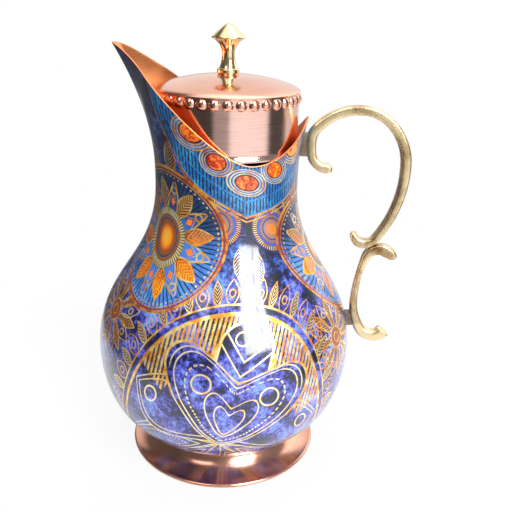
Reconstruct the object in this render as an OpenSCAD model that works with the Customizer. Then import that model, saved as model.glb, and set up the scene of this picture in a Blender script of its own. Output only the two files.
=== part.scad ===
// Printed copper coffee jug with an open beak spout, a brass scroll handle and a lift-off lid.
// The axis of the jug is Z, it stands on Z = 0, the spout points to -X and the handle to +X.

/* [Vessel] */
// Radius at the widest part of the belly
belly_r = 83.4; // [76:0.2:90]
// Height of the widest part of the belly, where the two halves are brazed
belly_z = 78; // [72:1:84]
// Radius at the narrowest part of the neck
waist_r = 44.4; // [43:0.1:46]
// Height of the narrowest part of the neck
waist_z = 186; // [182:1:190]
// Thickness of the copper sheet of the vessel
sheet_t = 1.1; // [0.8:0.1:1.4]

/* [Foot ring] */
// Height of the foot ring
foot_h = 14.5; // [12:0.5:18]
// Radius of the foot ring where it meets the belly
foot_top_r = 46.4; // [42:0.2:52]
// Largest radius of the foot ring
foot_r = 63.5; // [58:0.5:68]
// Radius of the hem along the foot's lower edge
foot_hem_r = 1.3; // [1:0.1:2]

/* [Rim and spout] */
// Height of the tip of the spout
tip_z = 267.5; // [262:0.5:272]
// Lowest height of the rim, beside the lid
valley_z = 205.8; // [204:0.2:207]
// Height of the rim at the handle
back_z = 228; // [224:0.5:230]
// Distance of the rim's lowest point behind the axis
valley_back = 19; // [14:1:24]
// Radius of the rounded lip at the tip of the spout
lip_r = 11; // [8:0.5:14]
// How much wider the mouth is than the neck, on each side
mouth_flare = 9.5; // [8:0.5:11]
// How fast the spout leans out, in mm per mm squared
spout_lean = 0.0037; // [0.0034:0.0001:0.004]

/* [Handle] */
// Depth of the handle's section at the grip, in the plane of its curve
handle_t = 6.6; // [6:0.1:7.2]
// Width of the handle's section across that plane
handle_w = 7.6; // [6:0.1:9]
// Depth of the lower scroll's section at its lower curl
lower_t = 7.5; // [6.6:0.1:8]
// Radius of the two rivets
rivet_r = 2; // [1.5:0.1:2.4]
// Height of the upper rivet
upper_rivet_z = 212; // [210:0.5:214]
// Height of the lower rivet
lower_rivet_z = 95.5; // [94:0.5:97]

/* [Lid] */
// Outer radius of the drum
drum_r = 42.8; // [42:0.1:43]
// Height of the drum's lower edge when the lid is on
drum_bottom = 207.2; // [207:0.1:209]
// Height of the drum's upper edge when the lid is on
drum_top = 242.2; // [240:0.1:244]
// Outer radius of the drum's belled lower edge
bell_r = 43.85; // [43:0.05:43.9]
// Thickness of the lid's copper sheet
lid_t = 1; // [0.8:0.1:1.2]
// Largest radius of the dome
dome_r = 43.4; // [43:0.1:44]
// Height of the dome above the drum
dome_rise = 8.8; // [7:0.1:11]
// Number of beads round the drum
bead_count = 36; // [30:1:38]
// Radius of a bead where it meets the drum
bead_r = 3.25; // [2.6:0.05:3.3]
// How far a bead stands out from the drum
bead_h = 1.6; // [1:0.1:2.2]

/* [Finial] */
// Radius of the flat seat on top of the dome
seat_r = 7; // [6.8:0.1:9]
// Radius of the collar under the knob
collar_r = 6.6; // [6:0.1:6.8]
// Height of the collar
collar_h = 3.6; // [3:0.1:5]
// Height of the knob above the collar
knob_h = 25.4; // [20:0.2:30]
// Radius of the knob's sharp rim
knob_r = 10.1; // [9:0.1:12]
// Radius of the knob's waist
knob_waist_r = 3.75; // [3.4:0.05:4.5]
// Radius of the threaded stud
stud_r = 2; // [1.5:0.1:2.2]

/* [Hidden] */

copper = "#c9764f";
print_blue = "#3f5fb8";
brass = "#b8924a";
steel_brass = "#d8b56a";

gap = 0.1;                       // clearance round rivets and the stud
flare_len = 46;                  // height over which the mouth opens
wall_steps = 12;                 // rings from the belly to the waist
neck_steps = 12;                 // rings from the waist to the rim
front_steps = 32;                // rim points from the spout's tip to the valley
back_steps = 16;                 // rim points from the valley to the handle
curve_steps = 20;                // points on a turned outline

belly_rise = 46;                 // how long the belly's curve stays upright above its widest line
waist_drop = 51;                 // how long the neck's curve stays upright below the waist
belly_drop = 36;                 // how long the belly's curve stays upright below its widest line
bottom_run = 20;                 // how far the bottom curve runs out from the foot
bottom_lift = 9;                 // how far it rises over that run

dome_top = drum_top + dome_rise;
dome_edge = 0.7;                 // upright edge at the foot of the dome
collar_top = dome_top + collar_h;
knob_top = collar_top + knob_h;
knob_rim_z = collar_top + 0.67 * knob_h;
knob_waist_z = collar_top + 0.32 * knob_h;
bead_z = drum_top - bead_r - 0.1;
stud_bottom = dome_top - 7.5;
stud_top = collar_top + 8;
washer_r = 5;
washer_t = 0.8;
nut_r = 4.05;
nut_h = 3.2;

// ---------- curves ----------

// Point on a cubic curve with four control points.
function curve(p, t) =
    p[0] * pow(1 - t, 3) + 3 * p[1] * pow(1 - t, 2) * t + 3 * p[2] * (1 - t) * t * t + p[3] * pow(t, 3);

// Direction of that curve.
function curve_dir(p, t) =
    (p[1] - p[0]) * pow(1 - t, 2) + 2 * (p[2] - p[1]) * (1 - t) * t + (p[3] - p[2]) * t * t;

// Point at a distance to the left of that curve.
function curve_side(p, t, d) =
    let (v = curve_dir(p, t) / norm(curve_dir(p, t))) curve(p, t) + d * [-v[1], v[0]];

// Outline of the belly below its widest line, and of the vessel above it up to the waist.
lower_curve = [
    [foot_top_r, foot_h],
    [foot_top_r + bottom_run, foot_h + bottom_lift],
    [belly_r, belly_z - belly_drop],
    [belly_r, belly_z]
];
upper_curve = [
    [belly_r, belly_z],
    [belly_r, belly_z + belly_rise],
    [waist_r, waist_z - waist_drop],
    [waist_r, waist_z]
];

// ---------- mouth and spout ----------

// Above the waist each level section is a round mouth joined by tangents to a small round lip.
function mouth_r(z) = waist_r + mouth_flare * (1 - exp(-pow((z - waist_z) / flare_len, 3)));
function reach(z) = waist_r + spout_lean * pow(z - waist_z, 2) + 0.001;

// Angle from the spout at which the straight side leaves the round mouth.
function side_angle(r, e, lip) = acos((r - lip) / (e - lip));

// Half width of the section at distance x in front of the axis.
function half_width(x, r, e, lip) =
    let (a = side_angle(r, e, lip), c = e - lip)
    x > c + lip * cos(a) ? sqrt(max(lip * lip - pow(x - c, 2), 0))
    : x > r * cos(a) ? (r - x * cos(a)) / sin(a)
    : sqrt(max(r * r - x * x, 0));

// Distance of the section from the axis in the direction at angle a from the spout.
function section_r(a, r, e, lip) =
    let (s = side_angle(r, e, lip), c = e - lip, lip_a = atan2(lip * sin(s), c + lip * cos(s)))
    a < lip_a ? c * cos(a) + sqrt(max(lip * lip - pow(c * sin(a), 2), 0))
    : a < s ? r / cos(s - a)
    : r;

// Side view of the rim: [distance in front of the axis, height].
rim_front = [
    [-valley_back, valley_z],
    [-valley_back + 22, valley_z],
    [reach(tip_z) - 21, tip_z - 5.5],
    [reach(tip_z), tip_z]
];
rim_back = [
    [-mouth_r(back_z), back_z],
    [-mouth_r(back_z) + 7.5, valley_z + 6.2],
    [-valley_back - 11, valley_z],
    [-valley_back, valley_z]
];
rim_side = concat(
    [for (i = [0 : front_steps]) curve(rim_front, 1 - pow(i / front_steps, 2))],
    [for (i = [1 : back_steps]) curve(rim_back, pow(1 - i / back_steps, 2))]
);
last = len(rim_side) - 1;

// One entry for each column of the wall: [angle from the spout, height of the rim].
half_columns = [
    for (p = rim_side)
    [atan2(half_width(p[0], mouth_r(p[1]), reach(p[1]), lip_r), p[0]), p[1]]
];
columns = concat(
    [for (i = [0 : last]) [half_columns[i][0], half_columns[i][0], half_columns[i][1]]],
    [for (i = [last - 1 : -1 : 1]) [360 - half_columns[i][0], half_columns[i][0], half_columns[i][1]]]
);

// Ring number k of the wall, set back by d from the outer face.
function wall_point(column, k, d) =
    let (
        low = k <= wall_steps,
        p = curve_side(upper_curve, min(k / wall_steps, 1), d),
        z = low ? p[1] : waist_z + (column[2] - waist_z) * (k - wall_steps) / neck_steps,
        r = low ? p[0] : section_r(column[1], mouth_r(z) - d, reach(z) - d, lip_r - d)
    )
    [-r * cos(column[0]), -r * sin(column[0]), z];

module neck_wall() {
    n = len(columns);
    rings = wall_steps + neck_steps;
    inside = (rings + 1) * n;
    points = [
        for (d = [0, sheet_t])
        for (k = [0 : rings])
        for (i = [0 : n - 1])
        wall_point(columns[i], k, d)
    ];
    faces = [
        for (k = [0 : rings - 1])
        for (i = [0 : n - 1])
        let (j = (i + 1) % n, a = k * n, b = a + n)
        each [
            [a + i, b + i, b + j],
            [a + i, b + j, a + j],
            [inside + a + i, inside + b + j, inside + b + i],
            [inside + a + i, inside + a + j, inside + b + j]
        ]
    ];
    edges = [
        for (i = [0 : n - 1])
        let (j = (i + 1) % n, top = rings * n)
        each [
            [top + i, inside + top + i, inside + top + j],
            [top + i, inside + top + j, top + j],
            [i, inside + j, inside + i],
            [i, j, inside + j]
        ]
    ];
    polyhedron(points, concat(faces, edges), convexity = 6);
}

// ---------- handle ----------

// A route is a start point, a heading in degrees, and arcs of [radius, turn, depth at the arc's end].
// + turns to the left, and a depth is a share of the scroll's full depth.
function route(start, heading, depth, arcs, i = 0) =
    i == len(arcs) ? [[start[0], start[1], heading, depth]]
    : let (
        r = arcs[i][0],
        turn = arcs[i][1],
        steps = ceil(abs(turn) / 8),
        part = [for (s = [0 : steps - 1])
            concat(arc_point(start, heading, r, turn * s / steps), depth + (arcs[i][2] - depth) * s / steps)],
        end = arc_point(start, heading, r, turn)
    )
    concat(part, route([end[0], end[1]], end[2], arcs[i][2], arcs, i + 1));

function arc_point(p, heading, r, turn) =
    let (s = sign(turn) * r)
    [
        p[0] + s * (sin(heading + turn) - sin(heading)),
        p[1] - s * (cos(heading + turn) - cos(heading)),
        heading + turn
    ];

upper_route = route([65.2, 196.9], 197, 0.42, [
    [10.2, -18, 0.8],
    [10.2, -74, 0.9],
    [27.6, -26, 0.96],
    [8.8, -28, 0.94],
    [33.7, -58, 0.88],
    [26.3, -37, 0.94],
    [36.8, -42, 1.02],
    [74.3, -41, 0.8],
    [8, -84, 0.94],
    [7, -60, 0.4]
]);
lower_route = route([109.5, 139.1], 134, 0.5, [
    [25.5, 17, 1.06],
    [8.9, 96, 0.74],
    [57.4, 9, 0.48],
    [96.8, 14, 0.66],
    [37.7, 31, 0.9],
    [10.7, 49, 0.98],
    [8.9, 66, 1]
]);

// Rounded rectangular section of size t by w, as [in-plane, across] points.
function section(t, w) = [
    for (a = [15 : 30 : 345])
    let (c = cos(a), s = sin(a), k = pow(pow(abs(c), 3.2) + pow(abs(s), 3.2), -1 / 3.2))
    [t / 2 * c * k, w / 2 * s * k]
];

// Solid scroll along a route in the XZ plane, of full section t by w.
module scroll(path, t, w) {
    n = len(path);
    m = len(section(t, w));
    rings = [
        for (p = path)
        [for (q = section(t * p[3], w * min(1, sqrt(1.3 * p[3]))))
            [p[0] - q[0] * sin(p[2]), q[1], p[1] + q[0] * cos(p[2])]]
    ];
    points = [for (ring = rings) each ring];
    sides = [
        for (i = [0 : n - 2])
        for (j = [0 : m - 1])
        let (a = i * m, k = (j + 1) % m)
        each [[a + j, a + k, a + m + k], [a + j, a + m + k, a + m + j]]
    ];
    polyhedron(
        points,
        concat([[for (j = [m - 1 : -1 : 0]) j]], sides, [[for (j = [0 : m - 1]) (n - 1) * m + j]]),
        convexity = 8
    );
}

module upper_bar() scroll(upper_route, handle_t, handle_w);
module lower_bar() scroll(lower_route, lower_t, handle_w - 0.6);

// Rod along X from x0 to x1 at height z.
module rod(x0, x1, z, r) {
    translate([x0, 0, z]) rotate([0, 90, 0]) cylinder(h = x1 - x0, r = r, $fn = 48);
}

// Everything inside the outer face of the vessel near the handle, and a hair more.
module vessel_plug() {
    hair = 0.1;
    rotate_extrude($fn = 180) polygon(concat(
        [[0, belly_z]],
        [for (i = [0 : curve_steps]) curve_side(upper_curve, i / curve_steps, -hair)],
        [for (z = [waist_z + 2 : 2 : back_z]) [mouth_r(z) + hair, z]],
        [[0, back_z]]
    ));
}

upper_rivet_x = mouth_r(upper_rivet_z) - sheet_t + 0.15;
lower_wall_r = 81.3;             // radius of the belly at the lower rivet
lower_rivet_x = lower_wall_r - sheet_t - 0.5;
washer_x = lower_rivet_x - 2.1;  // clear of the sloping wall above the rivet

// ---------- vessel ----------

module belly_bowl() {
    color(print_blue)
    rotate_extrude($fn = 180) polygon(concat(
        [[0, foot_h]],
        [for (i = [0 : curve_steps]) curve(lower_curve, i / curve_steps)],
        [for (i = [curve_steps : -1 : 0]) curve_side(lower_curve, i / curve_steps, sheet_t)],
        [[0, foot_h + sheet_t]]
    ));
}

module neck_and_spout() {
    color(print_blue)
    difference() {
        neck_wall();
        rod(mouth_r(upper_rivet_z) - 8, mouth_r(upper_rivet_z) + 8, upper_rivet_z, rivet_r + gap);
        rod(lower_wall_r - 8, lower_wall_r + 8, lower_rivet_z, rivet_r + gap);
    }
}

module foot_ring() {
    hem = [foot_r - foot_hem_r, foot_hem_r];
    outer = [[foot_top_r, foot_h], [foot_top_r + 1, 8.5], [foot_top_r + 6.6, 3.6], hem + [-0.8, foot_hem_r]];
    inner = [hem + [-1.6, 0.3], [foot_top_r + 6, 2.6], [foot_top_r, 8], [foot_top_r - 1, foot_h]];
    color(copper)
    rotate_extrude($fn = 180) polygon(concat(
        [for (i = [0 : curve_steps]) curve(outer, i / curve_steps)],
        [for (a = [90 : -15 : -75]) hem + foot_hem_r * [cos(a), sin(a)]],
        [hem + [0.3, -foot_hem_r], hem + [-0.5, -foot_hem_r], hem + [-1.2, -0.4]],
        [for (i = [0 : curve_steps]) curve(inner, i / curve_steps)]
    ));
}

// ---------- handle pieces ----------

module handle_upper_scroll() {
    color(brass)
    difference() {
        upper_bar();
        rod(40, upper_rivet_x + 7.5, upper_rivet_z, rivet_r + gap);
    }
}

module handle_lower_scroll() {
    color(brass)
    difference() {
        lower_bar();
        upper_bar();
        rod(60, lower_rivet_x + 8, lower_rivet_z, rivet_r + gap);
    }
}

module upper_saddle() {
    color(brass)
    difference() {
        translate([44, -2.9, 204]) cube([7, 5.8, 14]);
        vessel_plug();
        upper_bar();
        rod(40, 60, upper_rivet_z, rivet_r + gap);
    }
}

module lower_saddle() {
    color(brass)
    difference() {
        translate([79, -2.7, 90.5]) cube([6.6, 5.4, 9]);
        vessel_plug();
        lower_bar();
        rod(70, 90, lower_rivet_z, rivet_r + gap);
    }
}

module upper_rivet() {
    color(brass) rod(upper_rivet_x, upper_rivet_x + 7.2, upper_rivet_z, rivet_r);
}

module lower_rivet() {
    color(brass) {
        rod(washer_x - 0.1, lower_rivet_x + 7.7, lower_rivet_z, rivet_r);
        intersection() {
            translate([washer_x + 1.2, 0, lower_rivet_z]) sphere(r = 4, $fn = 48);
            rod(washer_x - 5, washer_x, lower_rivet_z, 4);
        }
    }
}

module lower_rivet_washer() {
    color(brass)
    difference() {
        rod(washer_x, washer_x + washer_t, lower_rivet_z, 4.6);
        rod(washer_x - 1, washer_x + 2, lower_rivet_z, rivet_r + gap);
    }
}

// ---------- lid ----------

module lid_drum() {
    bell_h = 4;
    color(copper)
    rotate_extrude($fn = 180) polygon([
        [drum_r - lid_t, drum_top],
        [drum_r, drum_top],
        [drum_r, drum_bottom + bell_h],
        [bell_r, drum_bottom + 0.6],
        [bell_r, drum_bottom],
        [bell_r - lid_t, drum_bottom],
        [drum_r - lid_t, drum_bottom + bell_h]
    ]);
}

module lid_dome() {
    lip_z = drum_top + dome_edge;
    outer = [[seat_r, dome_top], [20, dome_top], [dome_r - 2.9, drum_top + 4], [dome_r, lip_z]];
    inner = [
        [dome_r - 2.2, lip_z - 0.2],
        [dome_r - 4.4, drum_top + 3.1],
        [20, dome_top - lid_t],
        [seat_r, dome_top - lid_t]
    ];
    color(copper)
    rotate_extrude($fn = 180) polygon(concat(
        [[stud_r + gap, dome_top - lid_t], [stud_r + gap, dome_top]],
        [for (i = [0 : curve_steps]) curve(outer, i / curve_steps)],
        [[dome_r, drum_top], [dome_r - 2.2, drum_top]],
        [for (i = [0 : curve_steps]) curve(inner, i / curve_steps)]
    ));
}

module lid_beads() {
    ball_r = (bead_r * bead_r + bead_h * bead_h) / (2 * bead_h);
    color(copper)
    difference() {
        for (i = [0 : bead_count - 1])
            rotate([0, 0, (i + 0.5) * 360 / bead_count])
                translate([drum_r + bead_h - ball_r, 0, bead_z]) sphere(r = ball_r, $fn = 48);
        translate([0, 0, bead_z - 10]) cylinder(h = 20, r = drum_r, $fn = 180);
    }
}

// ---------- finial ----------

module finial_collar() {
    round_r = 1.1;
    color(steel_brass)
    rotate_extrude($fn = 96) polygon(concat(
        [[stud_r + gap, dome_top], [collar_r - 0.6, dome_top]],
        [for (a = [-60 : 20 : 0]) [collar_r - round_r, dome_top + 1.2] + round_r * [cos(a), sin(a)]],
        [for (a = [0 : 20 : 80]) [collar_r - round_r, collar_top - round_r] + round_r * [cos(a), sin(a)]],
        [[collar_r - round_r - 0.4, collar_top], [stud_r + gap, collar_top]]
    ));
}

module finial_knob() {
    base_r = 5.4;
    hole_top = stud_top + 0.4;
    stem = [
        [base_r, collar_top],
        [base_r - 1.1, collar_top + 2.6],
        [knob_waist_r, collar_top + 5],
        [knob_waist_r, knob_waist_z]
    ];
    cup = [
        [knob_waist_r, knob_waist_z],
        [knob_waist_r, knob_waist_z + 4],
        [knob_waist_r + 2.6, knob_rim_z - 1.8],
        [knob_r - 0.1, knob_rim_z]
    ];
    cap = [
        [knob_r - 0.1, knob_rim_z + 0.7],
        [knob_r - 3, knob_rim_z + 3.4],
        [3, knob_top - 1.2],
        [0.9, knob_top - 0.25]
    ];
    color(steel_brass)
    rotate_extrude($fn = 96) polygon(concat(
        [[0, hole_top], [stud_r + gap, hole_top], [stud_r + gap, collar_top]],
        [for (i = [0 : curve_steps]) curve(stem, i / curve_steps)],
        [for (i = [1 : curve_steps]) curve(cup, i / curve_steps)],
        [[knob_r, knob_rim_z + 0.35]],
        [for (i = [0 : curve_steps]) curve(cap, i / curve_steps)],
        [[0, knob_top]]
    ));
}

module finial_stud() {
    color(steel_brass)
    translate([0, 0, stud_bottom]) cylinder(h = stud_top - stud_bottom, r = stud_r, $fn = 48);
}

module finial_washer() {
    color(steel_brass)
    translate([0, 0, dome_top - lid_t - washer_t])
    difference() {
        cylinder(h = washer_t, r = washer_r, $fn = 60);
        translate([0, 0, -1]) cylinder(h = washer_t + 2, r = stud_r + gap, $fn = 48);
    }
}

module finial_nut() {
    color(steel_brass)
    translate([0, 0, dome_top - lid_t - washer_t - nut_h])
    difference() {
        cylinder(h = nut_h, r = nut_r, $fn = 6);
        translate([0, 0, -1]) cylinder(h = nut_h + 2, r = stud_r + gap, $fn = 48);
    }
}

belly_bowl();
neck_and_spout();
foot_ring();
handle_upper_scroll();
handle_lower_scroll();
upper_saddle();
lower_saddle();
upper_rivet();
lower_rivet();
lower_rivet_washer();
lid_drum();
lid_dome();
lid_beads();
finial_collar();
finial_knob();
finial_stud();
finial_washer();
finial_nut();
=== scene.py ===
"""Looks of the printed copper coffee jug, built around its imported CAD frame.

Shapes and the print are measured in mm; the other materials, the lamp and the camera in metres.
"""
import math

import bpy
import numpy as np
from mathutils import Matrix, Vector


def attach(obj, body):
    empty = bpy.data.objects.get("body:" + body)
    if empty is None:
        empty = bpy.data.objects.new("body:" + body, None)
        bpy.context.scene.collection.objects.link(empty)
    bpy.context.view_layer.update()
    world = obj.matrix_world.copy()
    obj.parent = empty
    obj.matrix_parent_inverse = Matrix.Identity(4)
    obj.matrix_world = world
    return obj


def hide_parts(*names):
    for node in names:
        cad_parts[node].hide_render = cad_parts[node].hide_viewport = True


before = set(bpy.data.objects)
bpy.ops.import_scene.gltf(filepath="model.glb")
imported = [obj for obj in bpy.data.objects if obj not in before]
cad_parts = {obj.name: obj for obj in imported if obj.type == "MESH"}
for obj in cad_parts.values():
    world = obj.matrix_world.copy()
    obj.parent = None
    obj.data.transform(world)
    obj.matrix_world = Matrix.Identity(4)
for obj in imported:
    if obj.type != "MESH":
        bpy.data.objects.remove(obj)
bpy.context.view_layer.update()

MM = 0.001
TAU = 2 * math.pi

# ---------- sizes shared with the CAD ----------

BELLY_R, BELLY_Z = 83.4, 78.0
WAIST_R, WAIST_Z = 44.4, 186.0
SHEET = 1.1
FOOT_H, FOOT_TOP_R, FOOT_R, HEM_R = 14.5, 46.4, 63.5, 1.3
TIP_Z, VALLEY_Z, BACK_Z, VALLEY_BACK = 267.5, 205.8, 228.0, 19.0
LIP_R, MOUTH_FLARE, SPOUT_LEAN, FLARE_LEN = 11.0, 9.5, 0.0037, 46.0
DRUM_R, DRUM_BOTTOM, DRUM_TOP, BELL_R = 42.8, 207.2, 242.2, 43.85
LID_T, DOME_R, DOME_RISE = 1.0, 43.4, 8.8
BEADS, BEAD_R, BEAD_H = 36, 3.25, 1.6
SEAT_R, COLLAR_R, COLLAR_H, STUD_HOLE = 7.0, 6.6, 3.6, 2.1
KNOB_H, KNOB_R, KNOB_WAIST = 25.4, 10.1, 3.75
HANDLE_T, HANDLE_W, LOWER_T = 6.6, 7.6, 7.5

DOME_TOP = DRUM_TOP + DOME_RISE
COLLAR_TOP = DOME_TOP + COLLAR_H
KNOB_TOP = COLLAR_TOP + KNOB_H
LOWER_CURVE = [(FOOT_TOP_R, FOOT_H), (66.4, 23.5), (BELLY_R, 42), (BELLY_R, BELLY_Z)]
UPPER_CURVE = [(BELLY_R, BELLY_Z), (BELLY_R, 124), (WAIST_R, 135), (WAIST_R, WAIST_Z)]


# ---------- curves and meshes ----------


def curve(p, t):
    """Points of the cubic curve with control points p at shares t of its way."""
    p = np.array(p, float)
    t = np.atleast_1d(np.asarray(t, float))[:, None]
    return p[0] * (1 - t) ** 3 + 3 * p[1] * (1 - t) ** 2 * t + 3 * p[2] * (1 - t) * t * t + p[3] * t**3


def traced(p, steps, backwards=False):
    """The same curve as a list of (r, z) at even steps."""
    points = [tuple(q) for q in curve(p, np.linspace(0, 1, steps))]
    return points[::-1] if backwards else points


def curve_side(p, t, d):
    """The curve moved a distance d to its left."""
    q = np.array(p, float)
    t = np.atleast_1d(np.asarray(t, float))
    k = t[:, None]
    v = (q[1] - q[0]) * (1 - k) ** 2 + 2 * (q[2] - q[1]) * (1 - k) * k + (q[3] - q[2]) * k * k
    v /= np.linalg.norm(v, axis=1)[:, None]
    return curve(p, t) + d * np.stack([-v[:, 1], v[:, 0]], 1)


def make_mesh(name, verts, faces, face_mats=None, attrs=None, normals=None):
    """A mesh object from points in mm, smooth shaded."""
    mesh = bpy.data.meshes.new(name)
    mesh.from_pydata((np.asarray(verts, float) * MM).tolist(), [], [tuple(int(i) for i in f) for f in faces])
    mesh.polygons.foreach_set("use_smooth", [True] * len(mesh.polygons))
    if face_mats is not None:
        mesh.polygons.foreach_set("material_index", [int(m) for m in face_mats])
    for key, values in (attrs or {}).items():
        mesh.attributes.new(key, "FLOAT", "POINT").data.foreach_set("value", np.asarray(values, np.float32))
    if normals is not None:
        mesh.normals_split_custom_set_from_vertices(np.asarray(normals).tolist())
    mesh.update()
    obj = bpy.data.objects.new(name, mesh)
    bpy.context.scene.collection.objects.link(obj)
    return obj


def grid_faces(rows, cols, start=0, closed=True, flip=False):
    """Quads of a grid of points stored row by row."""
    out = []
    for i in range(rows - 1):
        for j in range(cols if closed else cols - 1):
            k = (j + 1) % cols
            a, b = start + i * cols, start + (i + 1) * cols
            quad = (a + j, a + k, b + k, b + j)
            out.append(quad[::-1] if flip else quad)
    return out


def revolve(name, outline, n=160, sharp=32):
    """A turned piece. Its closed outline of (r, z) runs counter-clockwise, with r to the right and z up."""
    outline = [tuple(p) for p in outline]
    ring_of, verts = [], []
    angles = np.arange(n) * TAU / n
    for r, z in outline:
        if r < 1e-6:
            ring_of.append([len(verts)])
            verts.append((0, 0, z))
        else:
            ring_of.append(range(len(verts), len(verts) + n))
            verts += [(r * math.cos(a), r * math.sin(a), z) for a in angles]
    faces = []
    for a, b in zip(ring_of, ring_of[1:] + ring_of[:1]):
        for j in range(n):
            k = (j + 1) % n
            if len(a) == 1 and len(b) == 1:
                break
            if len(a) == 1:
                faces.append((a[0], b[k], b[j]))
            elif len(b) == 1:
                faces.append((a[j], a[k], b[0]))
            else:
                faces.append((a[j], a[k], b[k], b[j]))
    obj = make_mesh(name, verts, faces)
    obj.data.set_sharp_from_angle(angle=math.radians(sharp))
    return obj


def arc(cx, cz, r, a0, a1, steps):
    angles = np.radians(np.linspace(a0, a1, steps))
    return [(cx + r * math.cos(a), cz + r * math.sin(a)) for a in angles]


# ---------- vessel ----------


def mouth_r(z):
    """Radius of the round part of the neck at height z."""
    return WAIST_R + MOUTH_FLARE * (1 - np.exp(-((np.maximum(z - WAIST_Z, 0) / FLARE_LEN) ** 3)))


def reach(z):
    """How far the spout stands out from the axis at height z."""
    return WAIST_R + SPOUT_LEAN * (z - WAIST_Z) ** 2 + 0.001


def half_width(x, r, e, lip):
    """Half the width, at x, of a circle of radius r drawn out to a lip of radius lip that ends at e."""
    a = math.acos((r - lip) / (e - lip))
    c = e - lip
    if x > c + lip * math.cos(a):
        return math.sqrt(max(lip * lip - (x - c) ** 2, 0))
    if x > r * math.cos(a):
        return (r - x * math.cos(a)) / math.sin(a)
    return math.sqrt(max(r * r - x * x, 0))


def section_r(a, r, e, lip):
    """Distance of the same outline from the axis, at angle a from the spout."""
    s = math.acos((r - lip) / (e - lip))
    c = e - lip
    lip_a = math.atan2(lip * math.sin(s), c + lip * math.cos(s))
    if a < lip_a:
        return c * math.cos(a) + math.sqrt(max(lip * lip - (c * math.sin(a)) ** 2, 0))
    return r / math.cos(s - a) if a < s else r


def rim_columns(front=72, back=40):
    """(angle from the spout, height of the rim) for one side of the wall, from the spout to the handle."""
    tip = float(reach(TIP_Z))
    rear = float(mouth_r(BACK_Z))
    low = (-VALLEY_BACK, VALLEY_Z)
    rim_front = [low, (-VALLEY_BACK + 22, VALLEY_Z), (tip - 21, TIP_Z - 5.5), (tip, TIP_Z)]
    rim_back = [(-rear, BACK_Z), (-rear + 7.5, VALLEY_Z + 6.2), (-VALLEY_BACK - 11, VALLEY_Z), low]
    front_shares = 1 - np.linspace(0, 1, front + 1) ** 2
    back_shares = (1 - np.arange(1, back + 1) / back) ** 2
    side = np.vstack([curve(rim_front, front_shares), curve(rim_back, back_shares)])
    return [(math.atan2(half_width(x, float(mouth_r(z)), float(reach(z)), LIP_R), x), z) for x, z in side]


FLOOR_RADII = (8, 20, 33, 44.5)
LOW_STEPS, UP_STEPS, NECK_STEPS, RIM_STEPS = 41, 53, 40, 6
ROUND_TOP = 0.5  # the rim is rounded over this height
PRINTED, BARE = 0, 1  # the two materials of the vessel


def wall_rows(cols):
    """Rows of points from under the floor up the outside of the wall, over the rim and down inside.

    Returns the points, where each row starts, each point's height along the wall, and the printed rows.
    """
    low_t, up_t = np.linspace(0, 1, LOW_STEPS), np.linspace(0, 1, UP_STEPS)[1:]

    def side(d):
        return np.vstack([curve_side(LOWER_CURVE, low_t, d), curve_side(UPPER_CURVE, up_t, d)])

    outer, inner = side(0.0), side(SHEET)
    arc_len = np.r_[0, np.cumsum(np.hypot(*np.diff(outer, axis=0).T))]
    verts, rows, arcs = [], [], []

    def add_row(points, heights):
        rows.append(len(verts))
        verts.extend(points)
        arcs.extend(heights)

    def ring(r, z, s):
        add_row([(-r * math.cos(turn), -r * math.sin(turn), z) for turn, _, _ in cols], [s] * len(cols))

    def neck(f, d, drop):
        """A row at share f of the way from the waist to the rim, a depth d inside the wall."""
        points, heights = [], []
        for turn, a, rim in cols:
            z = WAIST_Z + (rim - drop - WAIST_Z) * f
            r = section_r(a, float(mouth_r(z)) - d, float(reach(z)) - d, LIP_R - d)
            points.append((-r * math.cos(turn), -r * math.sin(turn), z))
            heights.append(arc_len[-1] + z - WAIST_Z)
        add_row(points, heights)

    shares = np.linspace(0, 1, NECK_STEPS)[1:]
    for r in FLOOR_RADII:
        ring(r, FOOT_H, -1)
    for (r, z), s in zip(outer, arc_len):
        ring(r, z, s)
    for f in shares:
        neck(f, 0.0, ROUND_TOP)
    printed = range(len(FLOOR_RADII), len(rows) - 1)
    for k in range(1, RIM_STEPS):
        a = math.pi * k / RIM_STEPS
        neck(1.0, SHEET * (1 - math.cos(a)) / 2, ROUND_TOP * (1 - math.sin(a)))
    for f in shares[::-1]:
        neck(f, SHEET, ROUND_TOP)
    for r, z in inner[::-1]:
        ring(r, z, 0)
    for r in FLOOR_RADII[::-1]:
        ring(r, FOOT_H + SHEET, 0)
    return verts, rows, arcs, printed


def wall_faces(verts, rows, arcs, n, printed, low_rows):
    """Faces between the rows, with their materials and whether they belong to the bowl; closes the floor."""
    faces, mats, in_bowl = [], [], []
    for i in range(len(rows) - 1):
        faces += grid_faces(2, n, rows[i])
        mats += [PRINTED if i in printed else BARE] * n
        in_bowl += [i < low_rows - 1 or i >= len(rows) - low_rows] * n
    for first, flip in ((rows[0], True), (rows[-1], False)):
        centre = len(verts)
        verts.append((0, 0, verts[first][2]))
        arcs.append(0)
        for j in range(n):
            tri = (centre, first + j, first + (j + 1) % n)
            faces.append(tri[::-1] if flip else tri)
            mats.append(BARE)
            in_bowl.append(True)
    return faces, mats, in_bowl


def smooth_normals(verts, faces):
    whole = make_mesh("whole", verts, faces)
    normals = np.zeros(len(verts) * 3, np.float32)
    whole.data.vertex_normals.foreach_get("vector", normals)
    bpy.data.objects.remove(whole)
    return normals.reshape(-1, 3)


def shell(name, verts, faces, mats, arcs, normals):
    """A mesh of these faces and only the points that they use."""
    used = sorted({i for f in faces for i in f})
    index = {v: i for i, v in enumerate(used)}
    return make_mesh(
        name,
        [verts[i] for i in used],
        [[index[i] for i in f] for f in faces],
        mats,
        {"arc": [arcs[i] for i in used]},
        normals[used],
    )


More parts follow.
